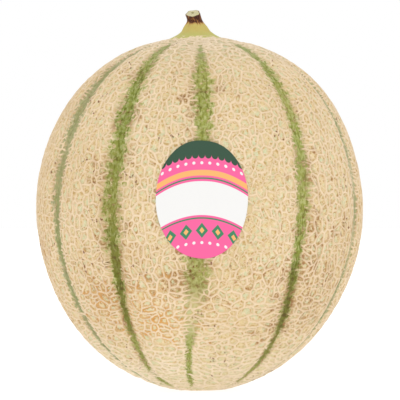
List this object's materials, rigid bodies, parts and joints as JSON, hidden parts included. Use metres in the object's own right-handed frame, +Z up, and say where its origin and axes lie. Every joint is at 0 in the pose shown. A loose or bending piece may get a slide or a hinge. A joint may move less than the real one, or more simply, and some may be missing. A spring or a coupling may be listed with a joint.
{
  "type": "cantaloupe melon",
  "caption": "Whole netted cantaloupe melon with green sutures down its rind, a short cut stem and an oval paper label, standing upright on a small flat spot.",
  "frame": {"origin": "centre of the small flat spot at the blossom end, on the surface that the melon rests on", "axes": "+Z up along the melon's stem axis, -Y towards the labelled front, +X to the right of the label"},
  "size_m": [0.1414, 0.1411, 0.1633],
  "materials": {
    "rind": "dry raised corky net in cream over pale grey-green skin, with dark green sutures",
    "stem": "dry brown neck that turns yellow-green at its flared foot, with a pale cut end",
    "label": "satin printed paper in pink and white with green and orange accents and no lettering"
  },
  "bodies": {
    "root": {"fruit": "rind", "stem": "stem", "label": "label"}
  },
  "joints": []
}
